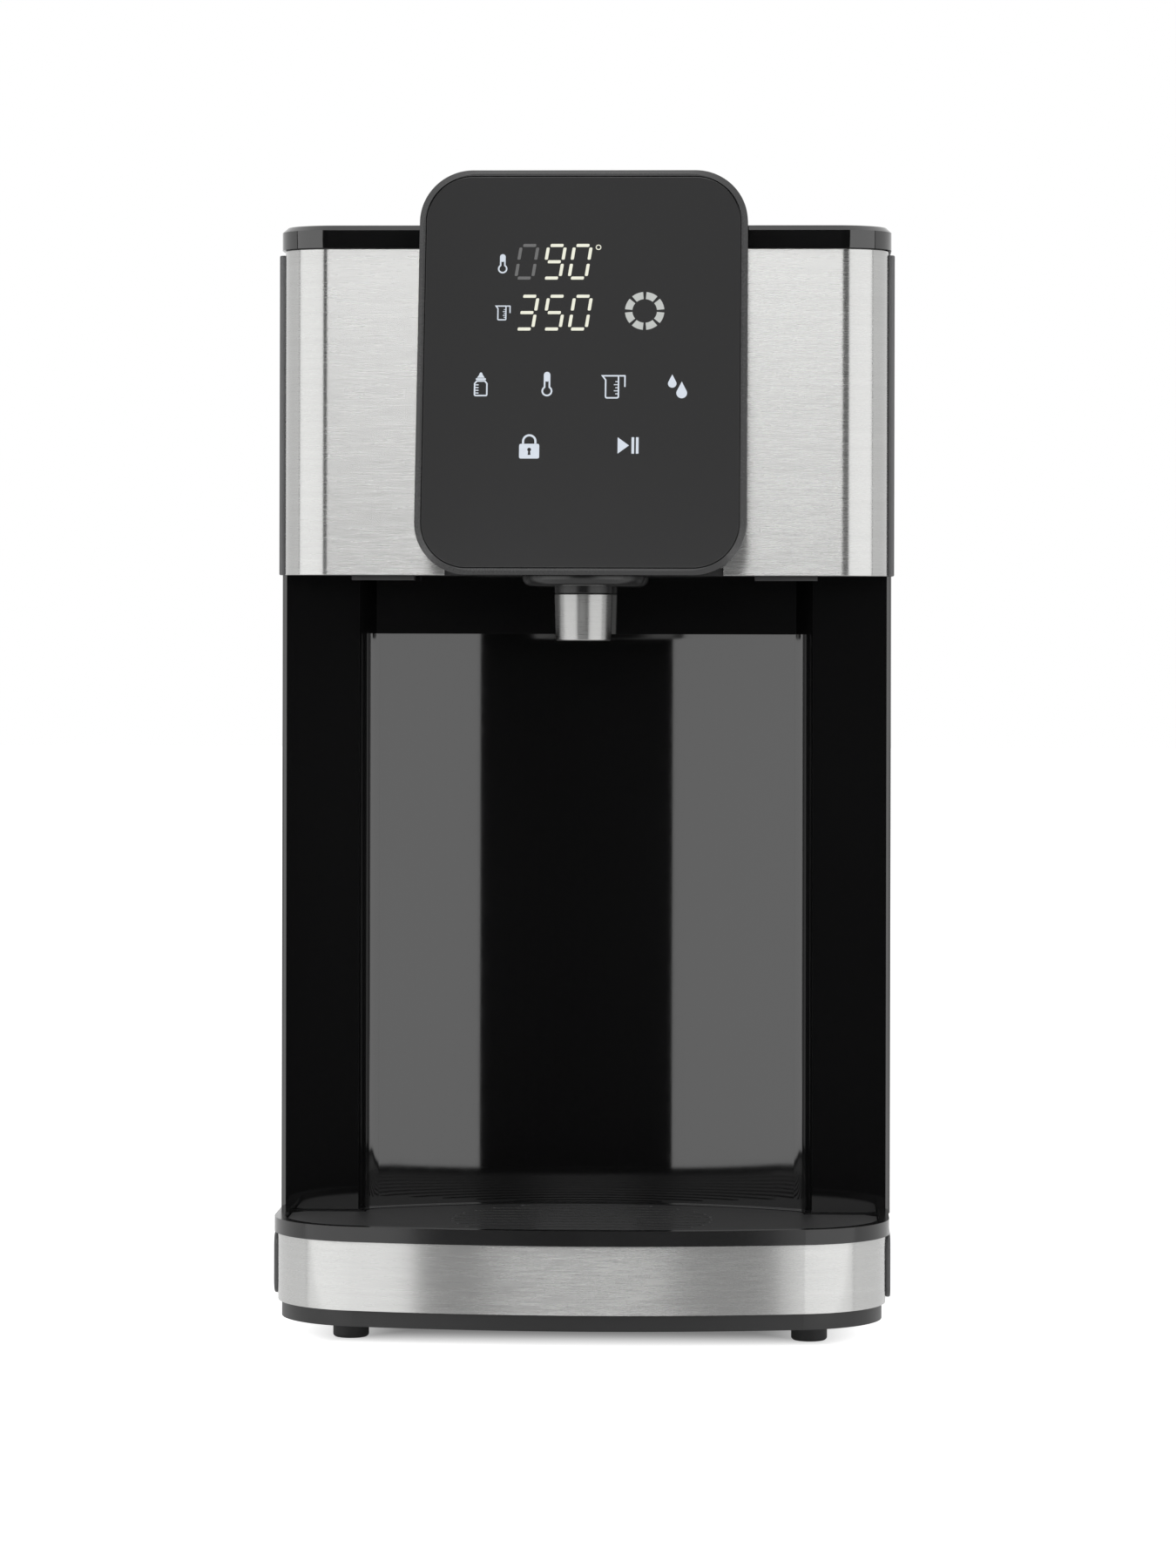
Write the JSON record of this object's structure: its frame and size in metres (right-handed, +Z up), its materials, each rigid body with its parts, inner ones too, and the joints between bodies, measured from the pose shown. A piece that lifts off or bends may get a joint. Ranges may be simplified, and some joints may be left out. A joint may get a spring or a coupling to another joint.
{
  "type": "hot water dispenser",
  "caption": "Countertop instant hot water dispenser with a cup niche, leaning touch panel, drip tray and lift-off rear tank.",
  "frame": {"origin": "on the table, in the middle of the outline", "axes": "+Z up, +Y to the back, +X to the right seen from the front; the front looks along -Y"},
  "size_m": [0.1784, 0.29, 0.3324],
  "materials": {
    "black_gloss": "high gloss moulded ABS, pitch black",
    "black_satin": "satin moulded plastic, black",
    "trim_satin": "satin moulded plastic, dark grey",
    "tray_satin": "satin black with a clear thin edge",
    "grille_grain": "fine spark-eroded grain, grey-black",
    "brushed_steel": "fine horizontal brushing",
    "polished_steel": "polished stainless steel",
    "zinc_steel": "zinc plated",
    "panel_black": "semi-gloss black",
    "panel_glass": "satin coated black glass with lit graphics",
    "rubber": "black rubber",
    "seal_rubber": "red-brown silicone",
    "silicone": "milky silicone",
    "circuit_board": "green lacquered board",
    "white_plastic": "white moulded plastic",
    "cream_plastic": "cream phenolic",
    "grey_plastic": "dark grey moulded plastic",
    "brass": "turned brass",
    "aluminium": "extruded, plain",
    "tank_smoke": "clear moulded plastic with a smoked tint"
  },
  "bodies": {
    "body": {"base_housing": "black_satin", "base_plate": "black_satin", "base_band": "brushed_steel", "base_trim_left": "trim_satin", "base_trim_right": "trim_satin", "rubber_feet": "rubber", "base_screws": "zinc_steel", "cord_gland": "rubber", "niche_wall": "black_gloss", "side_panel_left": "black_satin", "side_panel_right": "black_satin", "rear_wall": "black_satin", "head_frame": "black_satin", "steel_wrap": "brushed_steel", "head_side_left": "trim_satin", "head_side_right": "trim_satin", "head_floor": "black_satin", "top_cover": "black_gloss", "panel_housing": "panel_black", "panel_glass": "panel_glass", "light_box": "white_plastic", "touch_pads": "rubber", "display_board": "circuit_board", "outlet_block": "black_gloss", "nozzle_rosette": "black_gloss", "nozzle_collar": "black_satin", "nozzle_sleeve": "polished_steel", "nozzle_insert": "silicone", "heater_tube": "polished_steel", "heater_caps": "white_plastic", "heater_straps": "zinc_steel", "thermal_cutouts": "cream_plastic", "temperature_sensor": "brass", "pump_motor": "zinc_steel", "pump_housing": "grey_plastic", "pump_cover": "grey_plastic", "pump_bracket": "rubber", "meter_body": "white_plastic", "meter_cap": "white_plastic", "inlet_hose": "silicone", "pump_hose": "silicone", "heater_hose": "silicone", "outlet_hose": "silicone", "power_board": "circuit_board", "heat_sink": "aluminium", "level_sensor": "black_satin", "tank_socket": "grey_plastic", "socket_seal": "seal_rubber", "inlet_sieve": "polished_steel"},
    "tank": {"water_tank": "tank_smoke", "valve_body": "white_plastic", "valve_spring": "polished_steel", "lid_hinge_pins": "polished_steel"},
    "lid": {"tank_lid": "black_gloss"},
    "valve": {"valve_plunger": "seal_rubber"},
    "float": {"level_float": "white_plastic"},
    "tray": {"drip_tray": "tray_satin"},
    "grille": {"drip_grille": "grille_grain"},
    "impeller": {"pump_impeller": "white_plastic"},
    "turbine": {"meter_turbine": "white_plastic"}
  },
  "joints": [
    {"name": "tank_lift", "type": "slide", "parent": "body", "child": "tank", "axis": [0, 0, 1], "range_m": [0, 0.3]},
    {"name": "lid_hinge", "type": "hinge", "parent": "tank", "child": "lid", "pos_m": [0, 0.0315, 0.3136], "axis": [1, 0, 0], "range_deg": [0, 95]},
    {"name": "valve_lift", "type": "slide", "parent": "tank", "child": "valve", "axis": [0, 0, 1], "range_m": [0, 0.004], "stiffness_N_per_m": 100, "springref_m": -0.008, "deforming": ["valve_spring"]},
    {"name": "float_rise", "type": "slide", "parent": "tank", "child": "float", "axis": [0, 0, 1], "range_m": [0, 0.03]},
    {"name": "tray_lift", "type": "slide", "parent": "body", "child": "tray", "axis": [0, 0, 1], "range_m": [0, 0.04]},
    {"name": "grille_lift", "type": "slide", "parent": "tray", "child": "grille", "axis": [0, 0, 1], "range_m": [0, 0.03]},
    {"name": "pump_spin", "type": "hinge", "parent": "body", "child": "impeller", "pos_m": [-0.05, -0.015, 0.05], "axis": [0, 0, 1], "continuous": true},
    {"name": "turbine_spin", "type": "hinge", "parent": "body", "child": "turbine", "pos_m": [0.02, -0.015, 0.117], "axis": [0, 1, 0], "continuous": true}
  ]
}
